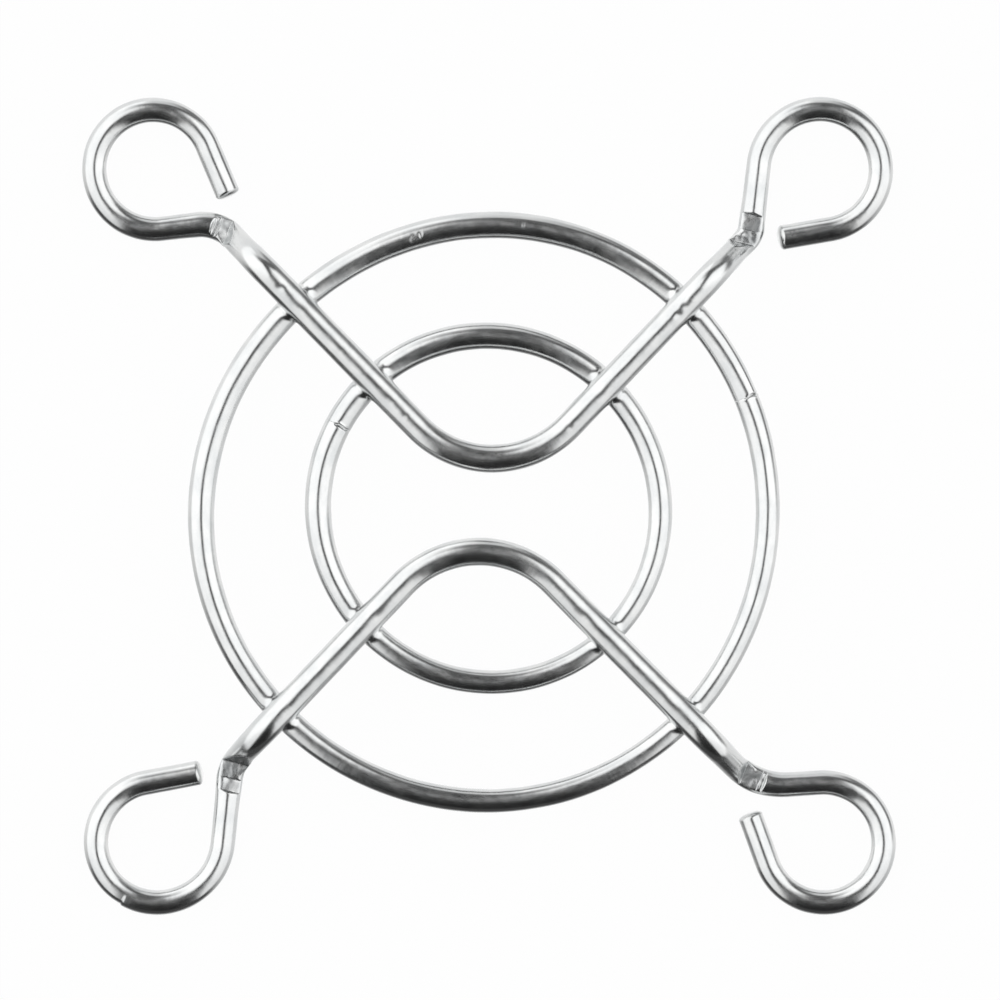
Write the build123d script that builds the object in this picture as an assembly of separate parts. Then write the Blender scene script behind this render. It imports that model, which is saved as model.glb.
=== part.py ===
from build123d import *
import os
from math import asin, degrees, radians, sqrt, tan

# Wire guard for a 40 mm axial fan: two round wire rings, welded under two bent wires
# that make a cross. Each end of a bent wire steps down and curls into a screw eyelet.
# Millimetres. The origin is the middle of the four eyelets, on the face of the fan.
# +Z points away from the fan, and +X is to the right in a view of the guard's front.

# Screws of the fan, and the hole in each eyelet
screw_pitch = 32.0
eyelet_bore = 4.5

# Wire stock
arm_wire = 1.3
ring_wire = 1.25

# Rings, measured across the middle line of their wire. Each was welded on a little
# off the middle of the cross, by these steps in X and Y.
outer_ring_diameter = 27.2
outer_ring_shift = (-0.15, -0.35)
inner_ring_diameter = 16.4
inner_ring_shift = (0.0, -0.15)

# Bent wires: their height over the fan's face and the bend at the middle of the guard.
# The lines of the two arms meet a little beside the middle.
arm_height = 2.8
apex_bend_radius = 5.0
apex_sideways = 0.35

# Step down at the first and the second end of a bent wire: its length in plan, from the
# brow to the foot, and the bends there
step_length = (2.2, 1.9)
brow_bend_radius = 2.2
foot_bend_radius = 1.6

# Flat that the bending tool presses on the foot of each step: its height over the fan's
# face, how far it runs from the foot towards the arm and towards the eyelet, the slope of
# the shoulder that it leaves on the arm's side, and its turn from the arm towards the eyelet
press_height = 1.2
press_towards_arm = 0.2
press_towards_eyelet = (0.7, 1.5)
press_shoulder = 70.0
press_turn = (24.0, 30.0)

# Eyelets at the first and the second end of a bent wire. The middle of the eyelet lies
# to the left of the arm's line, looking outwards along it, or to the right if negative.
# The wire is bent to the left of the diagonal, and then wraps round the screw to the right.
# Its first quarter turn may be wider than the rest, by the flare.
eyelet_left_of_arm = (0.5, -0.15)
eyelet_bend = (48.0, 38.0)
eyelet_flare = (0.05, 0.3)
eyelet_tail = (2.3, 2.6)
eyelet_wrap = 253.5

# Sheared ends: the slant of the cut, with its lower edge standing out, and the roundness
# of that edge
shear_slant = 14.0
shear_round = 0.15

# Welds: how far the ring sinks into the arm, and the collar of metal squeezed out there
weld_sink = 0.15
collar_diameter = 1.6
collar_height = 0.36
collar_round = 0.15

# Butt weld that closes each ring: its bead stands proud of the wire
butt_bead = 0.05
outer_butt_angle = 24.0
inner_butt_angle = 151.0

# Derived sizes
arm_radius = arm_wire / 2
ring_radius = ring_wire / 2
eyelet_turn_radius = eyelet_bore / 2 + arm_radius
ring_height = arm_height - arm_radius - ring_radius + weld_sink
collar_middle = arm_height - arm_radius + weld_sink / 2
arms_meet = Vector(apex_sideways, 0)


def plan_turn(vector, angle):
    """A plan vector, turned anticlockwise by an angle in degrees."""
    return vector.rotate(Axis.Z, angle)


def eyelet_middle(side):
    """Plan position of the eyelet on one side, -1 for the left end and +1 for the right."""
    return Vector(side * screw_pitch / 2, screw_pitch / 2)


def arm_heading(side, left):
    """Unit plan direction of an arm, from where the arms meet out towards its eyelet."""
    reach = eyelet_middle(side) - arms_meet
    return plan_turn(reach.normalized(), -degrees(asin(left / reach.length)))


def arc_about(centre, start, angle):
    """A plan arc about a centre, from a start point, anticlockwise by an angle in degrees."""
    arm = start - centre
    return ThreePointArc(start, centre + plan_turn(arm, angle / 2), centre + plan_turn(arm, angle))


def crossing(start, heading, other_start, other_heading):
    """Plan point where two lines cross, each given by a point and a unit direction."""
    gap = other_start - start
    return start + heading * (gap.cross(other_heading).Z / heading.cross(other_heading).Z)


def tail(start, outwards, length):
    """The straight last stretch of a bent wire, sheared off on a slant."""
    across = outwards.cross(Vector(0, 0, 1))
    spare = arm_wire
    stock = Cylinder(arm_radius, length + spare, align=(Align.CENTER, Align.CENTER, Align.MIN))
    stock = Plane(origin=start, x_dir=across, z_dir=outwards) * stock
    cut = Plane(origin=start + outwards * length, x_dir=across, z_dir=outwards)
    stock = split(stock, bisect_by=cut.rotated((shear_slant, 0, 0)), keep=Keep.BOTTOM)
    sheared_face = stock.faces().filter_by(GeomType.PLANE).sort_by_distance(start)[-1]
    return fillet(sheared_face.edges(), shear_round)


def pressed_away(foot, direction, length):
    """What the bending tool flattens on the foot of a step: a flat and a slanted shoulder."""
    rise = arm_wire
    lean = rise / tan(radians(press_shoulder))
    profile = [
        (-press_towards_arm, press_height),
        (length, press_height),
        (length, press_height + rise),
        (-press_towards_arm - lean, press_height + rise),
    ]
    foot_in_plan = Vector(foot.X, foot.Y, 0)
    side_on = Plane(origin=foot_in_plan, x_dir=direction, z_dir=direction.cross(Vector(0, 0, 1)))
    return extrude(side_on * Polygon(*profile, align=None), amount=arm_wire, both=True)


def wire_end(side, left, bend, flare, tail_length, step, press_length, turn):
    """Corners of one end of a bent wire, the curl of its eyelet, its tail and its flat."""
    heading = arm_heading(side, left)
    entry = plan_turn(Vector(side, 1).normalized(), bend)
    middle = eyelet_middle(side) + Vector(0, 0, arm_radius)
    quarter = middle + entry * eyelet_turn_radius
    lead_middle = middle - entry * flare
    touch = lead_middle + plan_turn(entry, 90) * (eyelet_turn_radius + flare)
    foot = crossing(arms_meet, heading, touch, entry)
    foot = Vector(foot.X, foot.Y, arm_radius)
    brow = Vector(foot.X, foot.Y, arm_height) - heading * step
    lead = arc_about(lead_middle, touch, -90)
    curl = arc_about(middle, quarter, 90 - eyelet_wrap)
    sheared_tail = tail(curl @ 1, plan_turn(entry, -eyelet_wrap), tail_length)
    flat = pressed_away(foot, plan_turn(heading, turn), press_length)
    return [touch, foot, brow], [lead, curl], sheared_tail, flat


def bent_wire():
    """One of the two wires of the cross, with an eyelet at each end, opening towards +Y."""
    eyelet_sizes = (eyelet_left_of_arm, eyelet_bend, eyelet_flare, eyelet_tail)
    step_sizes = (step_length, press_towards_eyelet, press_turn)
    left_end, right_end = [wire_end(*size) for size in zip((-1, 1), *eyelet_sizes, *step_sizes)]
    left_corners, left_curl, left_tail, left_flat = left_end
    right_corners, right_curl, right_tail, right_flat = right_end
    apex = Vector(arms_meet.X, arms_meet.Y, arm_height)
    corners = [*left_corners, apex, *reversed(right_corners)]
    step_bends = [foot_bend_radius, brow_bend_radius]
    bends = [*step_bends, apex_bend_radius, *reversed(step_bends)]
    cross_arms = FilletPolyline(*corners, radius=bends)
    path = Wire([*left_curl, *cross_arms.edges(), *right_curl])
    start = Plane(origin=path @ 0, z_dir=path % 0)
    wire = sweep(start * Circle(arm_radius), path=path)
    return wire - left_flat - right_flat + left_tail + right_tail


def weld_places(ring_diameter, shift):
    """Plan points where the arms of both bent wires cross one ring."""
    places = []
    for turn in (0, 180):
        start = plan_turn(arms_meet, turn) - Vector(*shift)
        for side, left in zip((-1, 1), eyelet_left_of_arm):
            heading = plan_turn(arm_heading(side, left), turn)
            along = start.dot(heading)
            reach = sqrt(along**2 - start.length**2 + (ring_diameter / 2) ** 2) - along
            places.append(start + heading * reach + Vector(*shift))
    return places


def ring(ring_diameter, shift, butt_angle, arms):
    """A closed wire ring with its butt weld, and with the weld collars seated on the arms."""
    butt_bead_radius = ring_radius + butt_bead
    body = Pos(*shift, ring_height) * Torus(ring_diameter / 2, ring_radius)
    butt = Pos(*shift, ring_height) * Rot(0, 0, butt_angle) * Pos(ring_diameter / 2, 0, 0)
    body += butt * Sphere(butt_bead_radius)
    collar = Cylinder(collar_diameter / 2, collar_height)
    collar = fillet(collar.edges().filter_by(GeomType.CIRCLE), collar_round)
    for place in weld_places(ring_diameter, shift):
        body += Pos(place.X, place.Y, collar_middle) * collar
    for arm in arms:
        body -= arm
    return body


upper_wire = bent_wire()
lower_wire = Rot(0, 0, 180) * upper_wire
cross_wires = (upper_wire, lower_wire)

parts = {
    "upper_bent_wire": upper_wire,
    "lower_bent_wire": lower_wire,
    "outer_ring": ring(outer_ring_diameter, outer_ring_shift, outer_butt_angle, cross_wires),
    "inner_ring": ring(inner_ring_diameter, inner_ring_shift, inner_butt_angle, cross_wires),
}

os.makedirs("parts", exist_ok=True)
for name, solid in parts.items():
    export_step(solid, f"parts/{name}.step")
    box = solid.bounding_box()
    print(name, "volume", round(solid.volume, 2), "box", box.min, box.max, len(solid.solids()))
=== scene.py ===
# %% [markdown]
# # A wire guard for a small fan
# The object is a finger guard: two rings of round steel wire, welded under two bent
# wires that cross the fan's opening. Each bent wire ends in two screw eyelets.
# The whole guard was plated after welding, so it is one bright metal all over.
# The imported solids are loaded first, because every piece here has to sit where they sit.

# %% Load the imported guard
import math

import bpy
import numpy as np
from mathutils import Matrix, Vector, noise


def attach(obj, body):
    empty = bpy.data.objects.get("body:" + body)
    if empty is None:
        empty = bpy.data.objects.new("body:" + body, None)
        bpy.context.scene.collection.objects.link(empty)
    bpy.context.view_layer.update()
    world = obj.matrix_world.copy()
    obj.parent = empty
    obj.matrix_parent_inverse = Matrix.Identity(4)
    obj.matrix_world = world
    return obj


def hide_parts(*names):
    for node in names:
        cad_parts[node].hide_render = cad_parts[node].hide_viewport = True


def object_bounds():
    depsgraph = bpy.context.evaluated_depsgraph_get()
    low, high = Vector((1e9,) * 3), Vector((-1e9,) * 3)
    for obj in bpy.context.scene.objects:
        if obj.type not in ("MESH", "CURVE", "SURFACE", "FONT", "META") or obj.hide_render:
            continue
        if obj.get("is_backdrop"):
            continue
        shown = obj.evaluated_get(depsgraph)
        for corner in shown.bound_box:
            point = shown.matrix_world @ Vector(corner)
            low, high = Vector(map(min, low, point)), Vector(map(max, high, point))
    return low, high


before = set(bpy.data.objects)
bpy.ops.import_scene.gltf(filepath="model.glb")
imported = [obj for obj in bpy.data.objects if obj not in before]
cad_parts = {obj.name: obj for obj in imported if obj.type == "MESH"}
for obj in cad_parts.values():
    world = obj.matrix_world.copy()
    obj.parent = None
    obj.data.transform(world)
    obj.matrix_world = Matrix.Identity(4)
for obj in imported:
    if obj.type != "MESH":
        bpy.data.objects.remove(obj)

MM = 0.001
cad_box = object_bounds()
print("solids:", sorted(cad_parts), "box in mm:", [tuple(c / MM) for c in cad_box])

# %% [markdown]
# ## The sizes of the guard
# The guard is bent from wire of one thickness for the arms and another for the rings. All
# lengths here are in millimetres, as on a drawing. They could be read from the boxes of the
# solids, but a bent wire is easier to follow from the sizes that a toolmaker sets.
# Where the wire is curled tightly it draws a little thinner, so eyelets have their own radius.

# %% Sizes of the wires
arm_radius = 0.70
eyelet_wire_radius = 0.62
ring_radius = 0.625
arm_height = 2.745
ring_height = 1.665
apex_bend_radius = 5.0
brow_bend_radius = 2.2
foot_bend_radius = 1.6
eyelet_wrap = 253.5
UP = np.array([0.0, 0.0, 1.0])
print("wires touch over", round(ring_height + ring_radius - arm_height + arm_radius, 3), "mm")

# %% [markdown]
# ## How each end was bent
# Both bent wires came from one tool, but each of the four ends sprang back a little
# differently. One set of sizes would be shorter, and it would put every reflection in the same
# place. So each end has its own line here. Directions are in degrees, for a wire that opens
# upwards on the page, and the lower wire is turned half round later. An end is listed by its
# arm's heading, then the brow's distance, the step's length and the turn at the foot, then the
# eyelet's middle, radius, direction and flare, then the length and the slant of its tip.

# %% Sizes of the four ends
class End:
    """One end of a bent wire: its arm, its step down, its eyelet and its sheared tip."""

    def __init__(self, arm, step, eyelet, tip):
        self.heading, self.brow, self.step, self.foot_turn = math.radians(arm), *step
        self.place, self.turn_radius, self.entry, self.flare = eyelet
        self.tail, self.slant = tip


upper_ends = (
    End(134.18, (16.0, 2.2, 2.1), ((-16.03, 16.08), 2.81, 186.5, 0.08), (2.65, 5.0)),
    End(46.42, (15.2, 1.9, 1.2), ((15.80, 16.04), 2.88, 83.3, 0.06), (2.56, 9.0)),
)
lower_ends = (
    End(134.59, (15.7, 2.2, 3.4), ((-15.96, 16.06), 2.86, 183.5, 0.0), (2.55, 2.0)),
    End(46.38, (15.1, 1.9, 2.2), ((15.875, 16.04), 2.88, 84.0, 0.27), (2.77, 7.0)),
)
upper_corner = np.array([0.207, 0.029, 0.0])
lower_corner = np.array([0.542, -0.008, 0.0])
print("eyelets of the upper wire:", [end.place for end in upper_ends])
print("eyelets of the lower wire:", [end.place for end in lower_ends])

# %% [markdown]
# ## The middle line of a bent wire
# On the real guard one straight wire is bent at its middle, stepped down near each end and
# curled round a pin. The curve tools could draw this, but a line of points made by the same
# arcs and tangents keeps every bend radius exact, and it tells later steps how far along
# the wire a weld or a tool mark lies.

# %% Arcs and rounded corners
fine_step = 0.02


def unit(vector):
    """The vector at a length of one."""
    return vector / np.linalg.norm(vector)


def turned(vector, degrees):
    """The vector, turned anticlockwise about the upright axis."""
    c, s = math.cos(math.radians(degrees)), math.sin(math.radians(degrees))
    return np.array([c * vector[0] - s * vector[1], s * vector[0] + c * vector[1], vector[2]])


def bend(centre, start, ahead, radians):
    """Points of a round bend that leaves start in the direction ahead."""
    arm = start - centre
    radius = np.linalg.norm(arm)
    count = max(2, int(radians * radius / fine_step))
    angles = np.linspace(0, radians, count)[:, None]
    return centre + np.cos(angles) * arm + np.sin(angles) * radius * ahead


def clockwise(centre, start, degrees):
    """Points of a clockwise bend that lies flat, as the curl of an eyelet does."""
    ahead = unit(turned(start - centre, -90))
    return bend(centre, start, ahead, math.radians(degrees))


def rounded(corners, radii):
    """Points along a line of straight runs, with each inner corner bent to its radius."""
    runs = [corners[:1]]
    for before, corner, after, radius in zip(corners, corners[1:], corners[2:], radii):
        back, on = unit(before - corner), unit(after - corner)
        half = math.acos(np.dot(back, on)) / 2
        start = corner + back * radius / math.tan(half)
        centre = corner + unit(back + on) * radius / math.sin(half)
        runs.append(bend(centre, start, -back, math.pi - 2 * half))
    return np.vstack([*runs, corners[-1:]])


def lengths(points):
    """How far along a line each of its points lies."""
    return np.concatenate([[0], np.cumsum(np.linalg.norm(np.diff(points, axis=0), axis=1))])


def spaced(along, spacing):
    """Marks along a length, each as far from the next as the spacing there says."""
    count = np.concatenate([[0], np.cumsum(np.diff(along) / spacing[:-1])])
    return np.interp(np.linspace(0, count[-1], int(count[-1]) + 1), count, along)


one_curl = clockwise(np.zeros(3), np.array([upper_ends[0].turn_radius, 0.0, 0.0]), eyelet_wrap)
print("one eyelet takes", round(float(lengths(one_curl)[-1]), 2), "mm of wire")

# %% [markdown]
# ## An end, seen from above
# The wire leaves its arm's line at the foot, runs straight for a short way, and wraps round
# the screw by about seven tenths of a turn. The foot could be measured too, but here it is
# where the line of the arm crosses the line that touches the eyelet. That way the bends stay
# smooth when an eyelet is moved. The domed face of the tip is added later, so it is left out.

# %% One end in plan
dome_height = 0.24


def direction(radians):
    """A level direction of length one."""
    return np.array([math.cos(radians), math.sin(radians), 0.0])


def end_in_plan(end, corner):
    """The two plan corners between arm and eyelet, and the eyelet's points up to its tip."""
    heading = direction(end.heading)
    entry = direction(math.radians(end.entry))
    middle = np.array([*end.place, 0.0])
    lead_middle = middle - entry * end.flare
    touch = lead_middle + turned(entry, 90) * (end.turn_radius + end.flare)
    gap = touch - corner
    crossing = heading[0] * entry[1] - heading[1] * entry[0]
    reach = (gap[0] * entry[1] - gap[1] * entry[0]) / crossing
    lead = clockwise(lead_middle, touch, 90)
    curl = clockwise(middle, middle + entry * end.turn_radius, eyelet_wrap - 90)
    tip = curl[-1] + turned(entry, -eyelet_wrap) * (end.tail - dome_height)
    return [touch, corner + heading * reach], np.vstack([lead[1:], curl[1:], tip[None]])


for end in upper_ends:
    (_, foot), _ = end_in_plan(end, upper_corner)
    print("the arm's line turns off at", foot[:2].round(2))

# %% [markdown]
# ## The step, seen from the side
# The same wire goes down from the arm to the face of the fan, over a brow and into a foot.
# That is a second drawing, of straight runs and two bends. Each point of the plan reads its
# height from it, so either drawing can change alone. The points lie closer together near the
# feet, because the marks of the tool need them there.

# %% Heights along the wire
mesh_step, foot_mesh_step = 0.058, 0.03
foot_area = 1.8
run_before_brow, run_past_foot = 9.0, 30.0
step_margin = 3.0


def step_down(end):
    """Distance past the brow and height of the line, as two rows, for one step."""
    side_view = [
        (-run_before_brow, arm_height, 0),
        (0, arm_height, 0),
        (end.step, eyelet_wire_radius, 0),
        (end.step + run_past_foot, eyelet_wire_radius, 0),
    ]
    return rounded(np.array(side_view, float), [brow_bend_radius, foot_bend_radius])[:, :2].T


def foot_of(end, corner):
    """The plan point where the step down of an end is over."""
    return corner + direction(end.heading) * (end.brow + end.step)


def wire_line(ends, corner):
    """The middle line of a bent wire, with its points closer together at both feet."""
    left_end, right_end = [end_in_plan(end, corner) for end in ends]
    (left_corners, left_eyelet), (right_corners, right_eyelet) = left_end, right_end
    plan_corners = np.array([*left_corners, corner, *reversed(right_corners)])
    radii = [ends[0].foot_turn, apex_bend_radius, ends[1].foot_turn]
    cross = rounded(plan_corners, radii)
    path = np.vstack([left_eyelet[::-1], cross, right_eyelet])
    along = np.arange(0, lengths(path)[-1], fine_step)
    line = np.column_stack([np.interp(along, lengths(path), path[:, k]) for k in range(3)])
    to_foot = [np.linalg.norm(line - foot_of(end, corner), axis=1) for end in ends]
    spacing = np.where(np.min(to_foot, axis=0) < foot_area, foot_mesh_step, mesh_step)
    marks = spaced(along, spacing)
    line = np.column_stack([np.interp(marks, along, line[:, k]) for k in range(3)])
    line[:, 2] = arm_height
    for sign, end in zip((-1, 1), ends):
        brow = corner + direction(end.heading) * end.brow
        place = marks[np.argmin(np.linalg.norm((line - brow)[:, :2], axis=1))]
        past, height = step_down(end)
        here = sign * (marks - place) > -step_margin
        line[here, 2] = np.interp(sign * (marks[here] - place), past, height)
    return line


upper_line = wire_line(upper_ends, upper_corner)
print("the upper wire was cut to", round(float(lengths(upper_line)[-1]), 1), "mm")

# %% [markdown]
# ## A skin round the line
# A bevelled curve would give a plain tube. This guard shows tool marks, dents and welds, so
# the skin is a grid instead: stations along the wire, and spots round each station. A shape
# rule then moves each spot, and it knows how far along and round the wire the spot lies.

# %% Stations, sections and the grid
spots_round = 64


class Grid:
    """A wire's skin before it becomes a mesh: one row of spots for each station."""

    def __init__(self, line, radius, closed=False):
        self.line, self.closed = line, closed
        self.radius = np.broadcast_to(radius, len(line))
        ahead = np.roll(line, -1, 0) - np.roll(line, 1, 0)
        if not closed:
            ahead[0], ahead[-1] = line[1] - line[0], line[-1] - line[-2]
        self.ahead = ahead / np.linalg.norm(ahead, axis=1)[:, None]
        over = UP - self.ahead * self.ahead[:, 2:]
        self.over = over / np.linalg.norm(over, axis=1)[:, None]
        self.beside = np.cross(self.ahead, self.over)
        self.along = lengths(line)
        self.round = np.arange(spots_round) * 2 * math.pi / spots_round
        cos, sin = np.cos(self.round)[None, :], np.sin(self.round)[None, :]
        self.outward = self.over[:, None] * cos[..., None] + self.beside[:, None] * sin[..., None]
        self.skin = line[:, None] + self.outward * self.radius[:, None, None]
        high, side = self.radius[:, None] * cos, self.radius[:, None] * sin
        self.stock = np.stack([self.along[:, None] + 0 * high, high, side], -1)
        self.scuff = np.zeros(high.shape)

    def raise_by(self, height):
        """Moves each spot outwards by a height, or inwards if negative."""
        self.skin = self.skin + self.outward * height[..., None]


print("spots are", round(2 * math.pi * arm_radius / spots_round, 3), "mm apart round an arm")

# %% [markdown]
# ## Unevenness of drawn wire
# Drawn wire is not a perfect cylinder. It was straightened between rolls and then plated, so
# reflections in it waver. A bump in the finish would not bend the outline, so the skin itself
# moves, only inwards, by a few hundredths of a millimetre at most. A patch is listed by how
# fast it changes along and round the wire, and by its depth.

# %% Waver of the wire
waver_patches = ((0.35, 0.9, 0.024), (1.2, 1.6, 0.008), (3.1, 2.6, 0.0015))


def cloud(spots, rates, seed):
    """A smooth random height between -1 and 1 for each spot."""
    places = (spots * np.array(rates)).reshape(-1, 3) + seed
    return np.array([noise.noise(Vector(place)) for place in places]).reshape(spots.shape[:-1])


def waver(grid, seed):
    """Lets the skin sink here and there, in long soft patches and in finer ones."""
    sink = np.zeros(grid.skin.shape[:2])
    for along_rate, round_rate, depth in waver_patches:
        sink += depth * (cloud(grid.stock, (along_rate, round_rate, round_rate), seed) - 1) / 2
    grid.raise_by(sink)


print("the skin sinks by", round(sum(row[2] for row in waver_patches), 4), "mm at most")

# %% [markdown]
# ## Resistance welds
# Each ring was pressed hot into the arms, and the soft metal made a small fillet round each
# crossing. A separate collar would show a seam. Both skins swell towards each other by one
# rule instead, a smooth union of two rounds, so they meet in one soft line.

# %% Swelling towards the other wire
weld_reach = 0.4
swell_rounds = 5
far_away = 9.0


def swell(grid, gap_to_other):
    """Raises the skin where another wire is near, until both skins meet smoothly."""
    height = np.zeros(grid.skin.shape[:2])
    for _ in range(swell_rounds):
        gap = gap_to_other(grid.skin + grid.outward * height[..., None])
        near = np.clip(1 - np.abs(height - gap) / weld_reach, 0, 1)
        height = weld_reach / 4 * near**2
    grid.raise_by(height)


def gap_to_arm(start, heading):
    """A rule that measures how far spots lie from the skin of one straight arm."""

    def gap(spots):
        away = spots - start
        length = away @ heading
        off = np.linalg.norm(away - length[..., None] * heading, axis=-1) - arm_radius
        return np.where(length > 0, off, far_away)

    return gap


def nearest(gaps):
    """A rule that measures the least of several gaps."""
    return lambda spots: np.min([gap(spots) for gap in gaps], axis=0)


arm_gaps = []
for ends, corner, turn in ((upper_ends, upper_corner, 0), (lower_ends, lower_corner, 180)):
    for end in ends:
        start = turned(corner, turn) + UP * arm_height
        arm_gaps.append(gap_to_arm(start, turned(direction(end.heading), turn)))
print("each ring is welded to", len(arm_gaps), "arms")

# %% [markdown]
# ## The rings
# A ring is a length of wire bent round and butt-welded to itself. Bending leaves it a little
# out of round, which the eye notices next to a true circle. A sum of two slow waves describes
# that, with the size and the place of each wave measured on the guard. A wave is listed by
# its count round the ring, its size, and the angle of its first crest.

# %% Ring lines
ring_step, fine_ring_step, fine_reach = 0.075, 0.018, 0.45
angle_step = 0.05
mean_thickness, thickness_change, thick_side = 1.012, 0.075, 128


def wrapped(degrees):
    """The angle, brought to between -180 and 180."""
    return (degrees + 180) % 360 - 180


class Ring:
    """A ring's sizes: middle, radius, how far it is out of round, and where it was joined."""

    def __init__(self, name, diameter, middle, waves, butt_angle):
        self.name, self.radius, self.waves, self.butt_angle = name, diameter / 2, waves, butt_angle
        self.middle = np.array([*middle, ring_height])

    def reach(self, angle):
        """Distance from the middle to the line of the wire at an angle."""
        wave = 0
        for count, size, crest in self.waves:
            wave = wave + size * np.cos(count * (angle - math.radians(crest)))
        return self.radius + wave

    def thickness(self):
        """The radius of the wire at each station: the plating is thicker towards one side."""
        change = thickness_change * np.cos(np.radians(self.angles - thick_side))
        return ring_radius * (mean_thickness + change)

    def gap(self, spots):
        """How far spots lie from the skin of this ring."""
        away = spots - self.middle
        plan = np.linalg.norm(away[..., :2], axis=-1)
        angle = np.arctan2(away[..., 1], away[..., 0])
        return np.hypot(plan - self.reach(angle), away[..., 2]) - ring_radius

    def line(self, fine_places):
        """Stations round the ring, from its butt weld anticlockwise, closer at some places."""
        turns = np.arange(0, 360, angle_step)
        off = [np.abs(wrapped(turns + self.butt_angle - place)) for place in fine_places]
        reach = np.radians(np.min(off, axis=0)) * self.radius
        spacing = np.where(reach < fine_reach, fine_ring_step, ring_step)
        turns = np.degrees(spaced(np.radians(turns) * self.radius, spacing) / self.radius)
        angle = np.radians(turns + self.butt_angle)
        reach = self.reach(angle)
        self.angles = np.degrees(angle)
        out = np.column_stack([np.cos(angle), np.sin(angle), 0 * angle])
        return self.middle + reach[:, None] * out


outer = Ring("outer_ring", 27.2, (-0.15, -0.35), ((2, 0.133, 72.3), (3, 0.076, -57.1)), 24.0)
inner = Ring("inner_ring", 16.4, (0.0, -0.15), ((2, 0.081, -63.2),), 151.0)
rings = (outer, inner)
print("ring radii", [ring.radius for ring in rings])

# %% [markdown]
# ## Where a ring was closed
# At the butt weld the two ends met slightly askew, so the crown of the wire jumps sideways
# there, and a fine crack is left where the metal did not flow. The outer ring also has a few
# small nicks from handling. A cut would leave sharp edges, so these marks only move spots of
# the skin, and each is built from one smooth hump that fades out to both sides.

# %% The butt weld
crack_depth, crack_half_width, crack_raggedness = 0.12, 0.055, 0.06
lip_height, lip_width, lip_before = 0.025, 0.07, 0.1


def bump(distance, width):
    """A smooth hump that is one at no distance and fades out over a width."""
    return np.exp(-((distance / width) ** 2))


def butt_joint(grid, ring, jumps, crack_middle, crack_width):
    """Moves the crown sideways before and after the joint, and sinks a fine crack there."""
    past = np.radians(wrapped(ring.angles - ring.butt_angle)) * ring.radius
    before, after, reach_before, reach_after = jumps
    lean_before = before * np.exp(past / reach_before)
    lean_after = after * np.exp(-past / reach_after)
    lean = np.where(past >= 0, lean_after, lean_before)
    crown = np.clip(np.cos(grid.round), 0, 1) ** 2
    outwards = (grid.line - ring.middle) * np.array([1, 1, 0])
    outwards /= np.linalg.norm(outwards, axis=1)[:, None]
    grid.skin += outwards[:, None] * (lean[:, None] * crown)[..., None]
    round_away = wrapped(np.degrees(grid.round[None, :]) - crack_middle)
    ragged = past[:, None] + crack_raggedness * cloud(grid.stock, (0, 3, 3), 9.1)
    fade_round = np.clip(1.3 - np.abs(round_away) / crack_width, 0, 1)
    crack = bump(ragged, crack_half_width) * fade_round
    lip = bump(ragged + lip_before, lip_width) * bump(round_away, crack_width)
    grid.raise_by(lip_height * lip - crack_depth * crack)


# %% Nicks
nick_raggedness, nick_slant, nick_scuff = 0.8, 0.0012, 0.2


def nick(grid, ring, angle, round_middle, spread, depth, width):
    """A small ragged notch across the wire, at an angle round the ring."""
    past = np.radians(wrapped(ring.angles - angle))[:, None] * ring.radius
    round_away = wrapped(np.degrees(grid.round[None, :]) - round_middle)
    ragged = 1 + nick_raggedness * cloud(grid.skin, (5, 5, 5), angle)
    notch = bump(past + nick_slant * round_away, width) * bump(round_away, spread)
    grid.raise_by(-depth * notch * ragged)
    grid.scuff = np.maximum(grid.scuff, nick_scuff * notch)


# %% [markdown]
# ## From a grid to a piece
# Four spots that lie next to each other make one face, and the last row of a ring joins its
# first. Rows as even as these shade smoothly with no modifier at all. Two values stay with
# each spot for the finish: its place in the straight stock, and how much it was rubbed.

# %% From grid to piece
wire_parts = []


def make_piece(grid, name, node):
    """Makes the mesh of a wire from its grid, and lets it stand for its solid."""
    rows, cols = grid.skin.shape[:2]
    spots = grid.skin.reshape(-1, 3)
    index = np.arange(rows * cols).reshape(rows, cols)
    if grid.closed:
        index = np.vstack([index, index[:1]])
    near, far = index[:-1], index[1:]
    faces = np.stack([near, np.roll(near, -1, 1), np.roll(far, -1, 1), far], -1)
    faces = faces.reshape(-1, 4).tolist()
    if not grid.closed:
        for row, order in ((index[0], -1), (index[-1], 1)):
            faces.append(row[::order].tolist())
    mesh = bpy.data.meshes.new(name)
    mesh.from_pydata((spots * MM).tolist(), [], faces)
    mesh.polygons.foreach_set("use_smooth", np.ones(len(mesh.polygons), bool))
    where = mesh.attributes.new("stock", "FLOAT_VECTOR", "POINT")
    where.data.foreach_set("vector", grid.stock.astype(np.float32).ravel())
    rubbed = mesh.attributes.new("scuff", "FLOAT", "POINT")
    rubbed.data.foreach_set("value", grid.scuff.astype(np.float32).ravel())
    mesh.update()
    piece = bpy.data.objects.new(name, mesh)
    bpy.context.scene.collection.objects.link(piece)
    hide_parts(node)
    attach(piece, "root")
    wire_parts.append(piece)
    print(name, len(mesh.vertices), "spots,", 2 * len(mesh.polygons), "triangles")
    return piece


# %% [markdown]
# ## Making both rings
# The order matters. The wire wavers first, then the welds swell out of it, and the marks come
# last, because they were made last. Stations lie closer together where a mark is.

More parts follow.
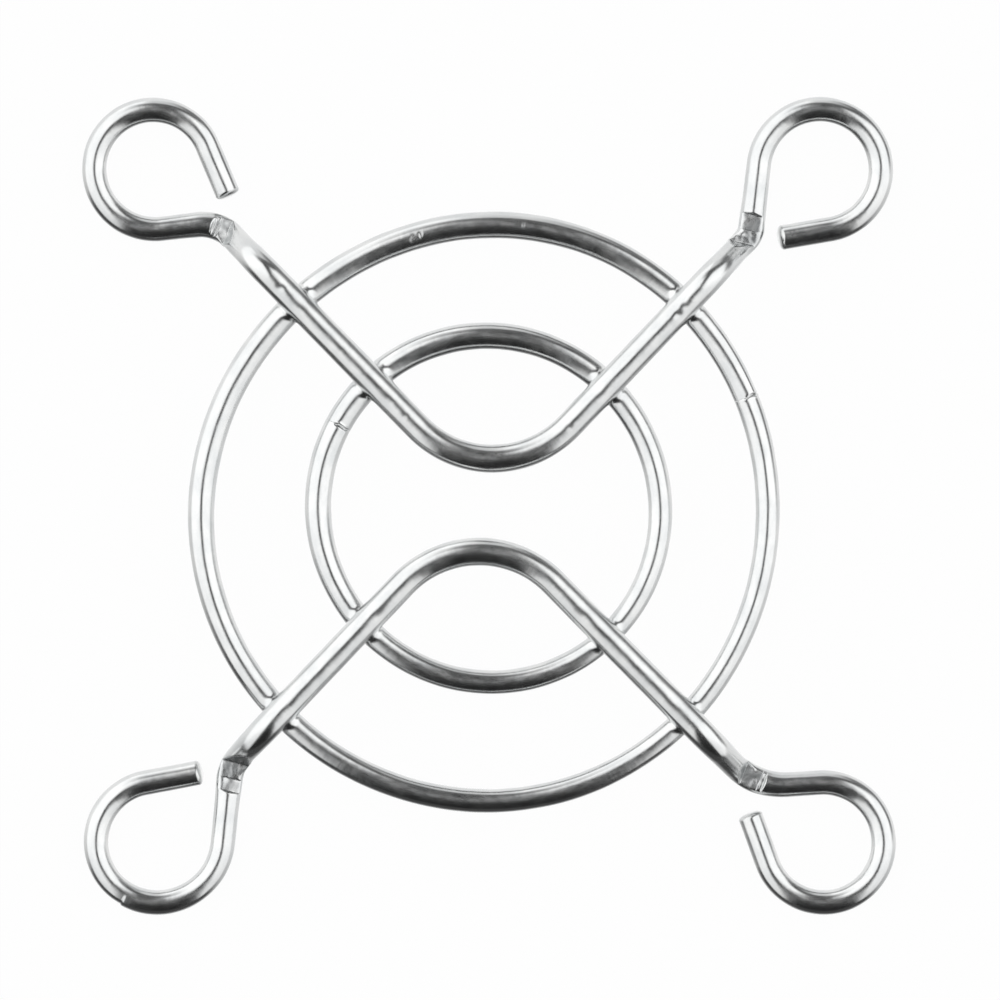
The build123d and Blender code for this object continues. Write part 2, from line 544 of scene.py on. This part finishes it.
# %% Make the rings
outer_line = outer.line((outer.butt_angle, 103.4, 104.7, 82.6))
inner_line = inner.line((inner.butt_angle,))
outer_grid = Grid(outer_line, outer.thickness(), closed=True)
inner_grid = Grid(inner_line, inner.thickness(), closed=True)
for grid, seed in ((outer_grid, 31.7), (inner_grid, 40.7)):
    waver(grid, seed)
    swell(grid, nearest(arm_gaps))
butt_joint(outer_grid, outer, (-0.04, 0.14, 0.8, 3.0), 45.0, 45.0)
butt_joint(inner_grid, inner, (0.02, -0.06, 0.8, 1.2), -14.0, 30.0)
# A nick: its angle round the ring, its middle and its spread round the wire, depth and width.
for angle, round_middle, spread, depth, width in (
    (103.3, -6.0, 13.0, 0.022, 0.10),
    (104.0, -12.0, 10.0, 0.016, 0.08),
    (104.6, -6.0, 12.0, 0.018, 0.12),
    (105.2, -14.0, 9.0, 0.014, 0.10),
    (82.6, 5.0, 14.0, 0.006, 0.06),
):
    nick(outer_grid, outer, angle, round_middle, spread, depth, width)
for grid, ring in ((outer_grid, outer), (inner_grid, inner)):
    make_piece(grid, ring.name + "_skin", ring.name)

# %% [markdown]
# ## The bent wires
# The lower wire is the upper one turned half round, as two wires from one bending tool are.
# Its skin is made by itself all the same, because its dents and marks are its own. The tips
# were sheared off, so each has a slanted, slightly domed face with a rounded rim. A cap laid
# on the end would show a seam, so more rows of the same grid turn in over the face.

# %% Sheared tips
rim_reach = 1.2
tip_scuff = 0.15
dome_rows, dome_fullness = 16, 3.2


def slant_tips(grid, ends):
    """Slopes both tips, so that the lower edge stands out."""
    total = grid.along[-1]
    for sign, end, left_over in ((-1, ends[0], grid.along), (1, ends[1], total - grid.along)):
        share = np.clip(1 - left_over / rim_reach, 0, 1) ** 2
        lean = -grid.stock[..., 1] * math.tan(math.radians(end.slant)) * share[:, None]
        grid.skin += sign * grid.ahead[:, None] * lean[..., None]


def round_tips(grid, ends):
    """Adds rows that turn in from the side of the wire to a domed face."""
    shares = np.sin(np.linspace(0.97, 0.04, dome_rows) * math.pi / 2)
    for row, sign, end in ((0, -1, ends[0]), (-1, 1, ends[1])):
        ahead, side = grid.ahead[row] * sign, grid.skin[row] - grid.line[row]
        lean = -grid.stock[row, :, 1] * math.tan(math.radians(end.slant))
        side = side - ahead * (side @ ahead)[:, None]
        added, stock = [], []
        for share in shares:
            further = dome_height * (1 - share**dome_fullness) ** 0.5
            added.append(grid.line[row] + side * share + ahead * (lean * share + further)[:, None])
            stock.append(grid.stock[row] * np.array([1, share, share]))
        scuff = np.full((len(shares), spots_round), tip_scuff)
        if sign < 0:
            added, stock = added[::-1], stock[::-1]
        for kept, extra in (("skin", added), ("stock", stock), ("scuff", scuff)):
            rows = [getattr(grid, kept), np.array(extra)][::sign]
            setattr(grid, kept, np.concatenate(rows))


# %% [markdown]
# ## Marks of the tools
# The step was pressed between two hard jaws. They left small facets on the foot of each step,
# rubbed dull and a little uneven, and each facet tips its own way. Over some welds the tip of
# the welding electrode left a shallow dent in the arm. Cutting with a box would leave edges
# like a knife's, so each facet is a height that the skin can't rise above, with a soft edge.
# On the lower left eyelet the outer side of the wire stands back a little, as a kink.

# %% Facets
press_reach = 3
shoulder_slope, softness = 72.0, 0.04
spread_height, spread_length = 0.05, 1.1
wear_depth = 0.06


def press(grid, foot, way, facets, seed):
    """Flattens the top of the wire by facets: range past the foot, height, tilts, relief, wear."""
    foot_place = grid.along[np.argmin(np.linalg.norm((grid.line - foot) * (1, 1, 0), axis=1))]
    near = np.abs(grid.along - foot_place) < press_reach
    away = grid.skin - foot
    past, aside = away @ way, away @ np.cross(UP, way)
    middle = (facets[0][0] + facets[-1][1]) / 2
    spread = spread_height * bump(past - middle, spread_length) * near[:, None]
    grid.raise_by(spread * np.sin(grid.round) ** 2)
    spots = np.stack([past, aside, 0 * past], -1)[near]
    mottle = cloud(spots, (2.2, 3.2, 1.0), seed)
    mottle = mottle + 0.5 * cloud(spots, (5.0, 6.0, 1.0), seed)
    patchy = np.clip(0.6 + 1.1 * cloud(spots, (2.6, 3.4, 1.0), seed + 5), 0, 1)
    past, aside, height = past[near], aside[near], grid.skin[near, :, 2]
    for start, end, level, tilt_along, tilt_aside, depth, wear in facets:
        limit = level + (past - (start + end) / 2) * math.tan(math.radians(tilt_along))
        limit = limit + aside * math.tan(math.radians(tilt_aside)) + depth * mottle
        beyond = np.clip(np.maximum(start - past, past - end), 0, None)
        limit = limit + beyond * math.tan(math.radians(shoulder_slope))
        worn = wear * patchy * np.clip((height - limit) / wear_depth, 0, 1)
        height = -softness * np.logaddexp(-height / softness, -limit / softness)
        grid.scuff[near] = np.maximum(grid.scuff[near], worn)
    grid.skin[near, :, 2] = height


# %% Dents and a kink
eyelet_zone = 4


def dent(grid, place, side, depth, length, width):
    """A shallow hollow on the crown, at a place along the wire and a little to one side."""
    past = (grid.along - place)[:, None]
    aside = grid.stock[..., 2] - side
    hollow = bump(past, length) * bump(aside, width) * (grid.stock[..., 1] > 0)
    grid.raise_by(-depth * hollow)


def kink(grid, middle, angle, depth, reach):
    """Lets the outer side of an eyelet stand back from an angle round its middle."""
    away = (grid.line - middle) * np.array([1, 1, 0])
    radius = np.linalg.norm(away, axis=1)
    turns = wrapped(np.degrees(np.arctan2(away[:, 1], away[:, 0])) - angle)
    back = -np.radians(turns) * radius
    here = (back > 0) & (radius < eyelet_zone)
    share = np.where(here, np.exp(-np.clip(back, 0, far_away) / reach), 0)
    outer_side = np.einsum("ijk,ik->ij", grid.outward, away / radius[:, None])
    grid.raise_by(-depth * share[:, None] * np.clip(outer_side, 0, 1))


# %% Where the marks lie
press_turns = (24.0, 30.0)
# A facet: its start and end past the foot, its height, its tilt along and aside, its relief
# and how much it is worn.
facets_of = {
    "upper_bent_wire": (
        (
            (-0.05, 0.42, 1.08, 6, 6, 0.016, 0.45),
            (0.5, 0.6, 1.08, 0, 0, 0.01, 0.3),
            (0.7, 0.78, 1.12, 0, 0, 0.01, 0.2),
        ),
        ((0.12, 0.8, 1.10, 3, 5, 0.020, 0.55), (0.8, 1.55, 1.03, 0, -2, 0.012, 0.8)),
    ),
    "lower_bent_wire": (
        ((0.1, 0.95, 1.04, 2, 2, 0.018, 0.8), (1.0, 1.15, 1.08, -8, 5, 0.006, 0.2)),
        ((-0.1, 0.7, 1.04, -2, 2, 0.018, 0.8), (0.7, 1.3, 1.02, 4, -6, 0.014, 0.5)),
    ),
}
# A dent: the end it is on, its distance from the wire's corner, aside, depth, length and width.
dents_of = {
    "upper_bent_wire": (
        (0, 14.45, 0.12, 0.018, 0.22, 0.28),
        (0, 13.2, -0.12, 0.016, 0.40, 0.30),
        (0, 7.1, 0.14, 0.014, 0.40, 0.30),
        (0, 6.0, 0.05, 0.007, 0.14, 0.20),
        (1, 12.6, 0.14, 0.018, 0.20, 0.24),
        (1, 13.2, -0.04, 0.020, 0.22, 0.24),
        (1, 7.2, -0.12, 0.014, 0.40, 0.30),
        (1, 5.2, 0.05, 0.008, 0.14, 0.20),
    ),
    "lower_bent_wire": (
        (0, 13.3, 0.12, 0.014, 0.45, 0.30),
        (0, 7.2, -0.12, 0.013, 0.40, 0.28),
        (1, 13.1, 0.12, 0.016, 0.40, 0.30),
        (1, 7.1, -0.12, 0.014, 0.40, 0.28),
    ),
}
print("dents on each wire:", {name: len(dents) for name, dents in dents_of.items()})

# %% [markdown]
# ## Making both bent wires
# The steps follow the life of the wire again: it is drawn, welded, pressed, dented, and its
# tips are sheared and domed at the end, because their rows have no line of their own.

# %% Make the bent wires
half_turn = np.array([-1.0, -1.0, 1.0])
kink_angle, kink_depth, kink_reach = 239.5, 0.06, 1.0
for name, ends, corner, turn, seed in (
    ("upper_bent_wire", upper_ends, upper_corner, 0, 3.1),
    ("lower_bent_wire", lower_ends, lower_corner, 180, 57.9),
):
    line = wire_line(ends, corner)
    if turn:
        line = line * half_turn
    heights, radii = (eyelet_wire_radius, arm_height), (eyelet_wire_radius, arm_radius)
    grid = Grid(line, np.interp(line[:, 2], heights, radii))
    waver(grid, seed)
    swell(grid, nearest([ring.gap for ring in rings]))
    for end, press_turn, facets in zip(ends, press_turns, facets_of[name]):
        way = turned(direction(end.heading), press_turn + turn)
        press(grid, turned(foot_of(end, corner), turn), way, facets, seed)
    for which, distance, aside, *size in dents_of[name]:
        spot = turned(corner + direction(ends[which].heading) * distance, turn)
        place = grid.along[np.argmin(np.linalg.norm((line - spot) * (1, 1, 0), axis=1))]
        dent(grid, place, aside, *size)
    if turn:
        lower_left_eyelet = -np.array([*ends[1].place, 0.0])
        kink(grid, lower_left_eyelet, kink_angle, kink_depth, kink_reach)
    slant_tips(grid, ends)
    round_tips(grid, ends)
    make_piece(grid, name + "_skin", name)

# %% [markdown]
# ## The plating
# Bright nickel over drawn steel: a mirror with a faint grain along the wire, and cloudier
# patches where the polish is thinner. Where the tools rubbed it, it is duller and darker. The
# grain could come from an anisotropic shader, but a fine bump needs no map of the surface. It
# follows the wire because it is read from each spot's place in the straight stock.

# %% Node helpers
def nodes_of(tree):
    """Two short calls for a node tree: one adds a node, the other joins two sockets."""
    tree.nodes.clear()

    def add(kind, **settings):
        node = tree.nodes.new(kind)
        for key, value in settings.items():
            setattr(node, key, value)
        return node

    return add, tree.links.new


# %% Plated wire
scuff_roughness = 0.22
grain_strength, grain_height = 0.35, 0.006


def plated_wire():
    """Bright plating with a grain along the wire."""
    material = bpy.data.materials.new("bright_plating")
    material.use_nodes = True
    add, join = nodes_of(material.node_tree)
    stock = add("ShaderNodeAttribute", attribute_name="stock")
    shader = add("ShaderNodeBsdfPrincipled")
    shader.inputs["Metallic"].default_value = 1.0
    out = add("ShaderNodeOutputMaterial")
    join(shader.outputs[0], out.inputs["Surface"])

    def pattern(rates, scale, detail):
        """Blotches that change along and round the wire at the given rates."""
        stretch = add("ShaderNodeMapping")
        stretch.inputs["Scale"].default_value = rates
        join(stock.outputs["Vector"], stretch.inputs["Vector"])
        blotches = add("ShaderNodeTexNoise")
        blotches.inputs["Scale"].default_value = scale
        blotches.inputs["Detail"].default_value = detail
        join(stretch.outputs[0], blotches.inputs["Vector"])
        return blotches.outputs["Fac"]

    tone = add("ShaderNodeValToRGB")
    thin, thick = tone.color_ramp.elements
    thin.position, thin.color = 0.3, (0.70, 0.715, 0.72, 1)
    thick.position, thick.color = 0.7, (0.82, 0.825, 0.82, 1)
    join(pattern((0.6, 1.0, 1.0), 1.4, 4.0), tone.inputs["Fac"])
    scuff = add("ShaderNodeAttribute", attribute_name="scuff")
    grime = add("ShaderNodeMix", data_type="RGBA")
    grime.inputs["B"].default_value = (0.30, 0.315, 0.32, 1)
    join(scuff.outputs["Fac"], grime.inputs["Factor"])
    join(tone.outputs["Color"], grime.inputs["A"])
    join(grime.outputs["Result"], shader.inputs["Base Color"])

    dull = add("ShaderNodeMapRange")
    ranges = {"From Min": 0.35, "From Max": 0.75, "To Min": 0.18, "To Max": 0.26}
    for socket, value in ranges.items():
        dull.inputs[socket].default_value = value
    join(pattern((0.5, 1.2, 1.2), 3.0, 5.0), dull.inputs["Value"])
    rubbed = add("ShaderNodeMath", operation="MULTIPLY_ADD")
    rubbed.inputs[1].default_value = scuff_roughness
    join(scuff.outputs["Fac"], rubbed.inputs[0])
    join(dull.outputs[0], rubbed.inputs[2])
    join(rubbed.outputs[0], shader.inputs["Roughness"])

    grain = add("ShaderNodeBump")
    grain.inputs["Strength"].default_value = grain_strength
    grain.inputs["Distance"].default_value = grain_height * MM
    join(pattern((5.0, 0.8, 0.8), 1.0, 3.0), grain.inputs["Height"])
    join(grain.outputs[0], shader.inputs["Normal"])
    return material


plating = plated_wire()
for piece in wire_parts:
    piece.data.materials.append(plating)
print(plating.name, "has", len(plating.node_tree.nodes), "nodes on", len(wire_parts), "pieces")

# %% [markdown]
# ## The studio
# Bright metal shows only what stands round it. The guard lies on a table of white paper, a
# hair above it, so that the two never share a surface. A lamp strong enough to turn the paper
# white would be too strong for the guard, so the paper glows for the camera instead, and the
# share that stays diffuse takes the soft shadow. The metal doesn't see this sheet. It sees the
# lower half of the room, where the paper can grow darker towards the front.

# %% Table
bpy.ops.mesh.primitive_plane_add(size=4.0, location=(0, 0, -0.00002))
table = bpy.context.object
table.name = "table"
table.visible_glossy = False
table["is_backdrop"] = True
# How much of the sheet glows, for the camera and for a mirror that does look at it.
camera_glow, mirror_glow = 0.97, 0.5


def table_top():
    """White paper that stays white for the camera, and keeps a soft shadow."""
    material = bpy.data.materials.new("white_paper")
    material.use_nodes = True
    add, join = nodes_of(material.node_tree)
    paper = add("ShaderNodeBsdfDiffuse")
    paper.inputs["Color"].default_value = (0.9, 0.9, 0.9, 1)
    white = add("ShaderNodeEmission")
    ray = add("ShaderNodeLightPath")
    seen = add("ShaderNodeMath", operation="MAXIMUM")
    join(ray.outputs["Is Camera Ray"], seen.inputs[0])
    join(ray.outputs["Is Transmission Ray"], seen.inputs[1])
    camera_share = add("ShaderNodeMath", operation="MULTIPLY")
    camera_share.inputs[1].default_value = camera_glow
    join(seen.outputs[0], camera_share.inputs[0])
    mirror_share = add("ShaderNodeMath", operation="MULTIPLY_ADD")
    mirror_share.inputs[1].default_value = mirror_glow
    join(ray.outputs["Is Glossy Ray"], mirror_share.inputs[0])
    join(camera_share.outputs[0], mirror_share.inputs[2])
    mix = add("ShaderNodeMixShader")
    join(mirror_share.outputs[0], mix.inputs["Fac"])
    join(paper.outputs[0], mix.inputs[1])
    join(white.outputs[0], mix.inputs[2])
    out = add("ShaderNodeOutputMaterial")
    join(mix.outputs[0], out.inputs["Surface"])
    return material


table.data.materials.append(table_top())
print("table top is", table.dimensions.x, "m wide")

# %% [markdown]
# ## The room
# Two wide white walls of light stand left and right of the table, and between them the
# ceiling is dark, so a dark line runs along the top of every wire. That gap widens towards
# the lower side of the picture, and a dark beam crosses it at the upper side. Lamps and cards
# could do all this, but a bright ring shows the edge of every card. In the world's nodes an
# edge can be as soft as it needs to be. There, x, y and z are the direction that a reflection
# looks in, so each shape in the room is a rule about them.

# %% Sums with nodes
def sums_for(add, join):
    """Four short calls: plain maths, a soft step, a soft band, and a blend of two values."""

    def put(value, socket):
        if isinstance(value, (int, float)):
            socket.default_value = value
        else:
            join(value, socket)

    def maths(operation, *values):
        node = add("ShaderNodeMath", operation=operation)
        for value, socket in zip(values, node.inputs):
            put(value, socket)
        return node.outputs[0]

    def fade(value, low, high):
        node = add("ShaderNodeMapRange", interpolation_type="SMOOTHSTEP")
        put(value, node.inputs["Value"])
        put(low, node.inputs["From Min"])
        put(high, node.inputs["From Max"])
        return node.outputs[0]

    def band(value, middle, outer, inner):
        return fade(maths("ABSOLUTE", maths("SUBTRACT", value, middle)), outer, inner)

    def blend(share, low, high):
        node = add("ShaderNodeMix")
        put(share, node.inputs["Factor"])
        put(low, node.inputs[2])
        put(high, node.inputs[3])
        return node.outputs[0]

    return maths, fade, band, blend


# %% [markdown]
# The upper half of the room holds the walls, the gap between them and the beam. The lower half
# is the sheet of paper, darker towards the front. Two dark cards stand near the horizon, one
# along the front and one in the far right corner, and they draw the outlines of the wires.

# %% The two halves of the room
beam_level, front_level, corner_level = 0.1, 0.06, 0.2


def upper_half(sums, x, y, z):
    """Brightness above the horizon."""
    maths, fade, band, blend = sums
    head, feet = [maths("MAXIMUM", maths("MULTIPLY", y, side), 0.0) for side in (1.0, -1.0)]
    sideways = maths("ABSOLUTE", maths("MULTIPLY_ADD", head, -0.15, x))
    half_gap = maths("MULTIPLY_ADD", head, 0.085, maths("MULTIPLY_ADD", feet, 0.46, 0.14))
    wall = fade(maths("SUBTRACT", sideways, half_gap), -0.07, 0.07)
    far_wall = maths("MULTIPLY", fade(y, 0.84, 0.92), 0.6)
    wall_level = blend(fade(y, -0.75, 0.1), 0.95, 1.3)
    gap_level = blend(fade(z, 0.8, 0.99), 0.018, 0.04)
    level = blend(maths("MAXIMUM", wall, far_wall), gap_level, wall_level)
    beam = maths("MULTIPLY", band(y, 0.76, 0.18, 0.07), fade(x, -0.45, -0.05))
    return blend(beam, level, beam_level)


def lower_half(sums, x, y, z):
    """Brightness of the paper below the horizon, brightest right under the wire."""
    maths, fade, band, blend = sums
    across = maths("MULTIPLY_ADD", x, 0.1, maths("MULTIPLY", y, 0.9))
    level = blend(fade(across, -0.9, 0.3), 0.3, 0.95)
    return blend(fade(z, -0.9, -0.78), 1.2, level)


def with_cards(sums, x, y, z, level):
    """The room's brightness, with the two dark cards near the horizon."""
    maths, fade, band, blend = sums
    feet, right = maths("MAXIMUM", maths("MULTIPLY", y, -1.0), 0.0), maths("MAXIMUM", x, 0.0)
    front = fade(maths("SUBTRACT", feet, maths("MULTIPLY", right, 0.5)), 0.2, 0.5)
    level = blend(maths("MULTIPLY", front, band(z, -0.22, 0.42, 0.24)), level, front_level)
    corner = maths("MULTIPLY_ADD", x, 0.78, maths("MULTIPLY", y, 0.62))
    corner = maths("MULTIPLY", fade(corner, 0.7, 0.92), band(z, 0.0, 0.3, 0.14))
    return blend(corner, level, corner_level)


# %% Light the studio
def studio_light():
    """The world: the camera sees plain white, and the metal sees the room."""
    world = bpy.data.worlds.new("studio")
    bpy.context.scene.world = world
    world.use_nodes = True
    add, join = nodes_of(world.node_tree)
    sums = sums_for(add, join)
    _, fade, _, blend = sums
    place = add("ShaderNodeTexCoord")
    split = add("ShaderNodeSeparateXYZ")
    join(place.outputs["Generated"], split.inputs[0])
    x, y, z = split.outputs
    halves = lower_half(sums, x, y, z), upper_half(sums, x, y, z)
    strength = with_cards(sums, x, y, z, blend(fade(z, -0.02, 0.06), *halves))
    room = add("ShaderNodeBackground")
    room.inputs["Color"].default_value = (1, 1, 1, 1)
    join(strength, room.inputs["Strength"])
    backdrop = add("ShaderNodeBackground")
    backdrop.inputs["Color"].default_value = (1, 1, 1, 1)
    ray = add("ShaderNodeLightPath")
    mix = add("ShaderNodeMixShader")
    join(ray.outputs["Is Camera Ray"], mix.inputs["Fac"])
    join(room.outputs[0], mix.inputs[1])
    join(backdrop.outputs[0], mix.inputs[2])
    out = add("ShaderNodeOutputWorld")
    join(mix.outputs[0], out.inputs["Surface"])
    print("the room is", len(world.node_tree.nodes), "nodes")


studio_light()

# %% [markdown]
# ## The camera
# The photograph looks straight down through a long lens. Its frame is 47.62 mm wide at the
# guard, and its middle lies a little to the right of and above the guard's middle.

# %% Camera over the guard
frame_width = 47.62
frame_middle = (0.514, 0.276)
lens = 400.0
camera = bpy.data.objects.new("camera", bpy.data.cameras.new("camera"))
bpy.context.scene.collection.objects.link(camera)
bpy.context.scene.camera = camera
camera.data.lens = lens
camera.data.sensor_width = 36.0
distance = frame_width * lens / camera.data.sensor_width
camera.location = Vector((frame_middle[0], frame_middle[1], distance + ring_height)) * MM
camera.data.clip_start, camera.data.clip_end = 0.01, 20.0
bpy.context.scene.view_settings.view_transform = "Standard"
print("camera is", round(distance), "mm above the rings")

# %% [markdown]
# ## Two boxes
# The box of the solids and the box of the dressed guard are both printed, in millimetres.
# The dressed guard has to stay inside the box of the solids.

# %% Sizes and finish
dressed_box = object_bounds()
boxes = {"cad": [list(c) for c in cad_box], "visual": [list(c) for c in dressed_box]}
for name, box in boxes.items():
    print(name, "box in mm:", [[round(c / MM, 3) for c in corner] for corner in box])
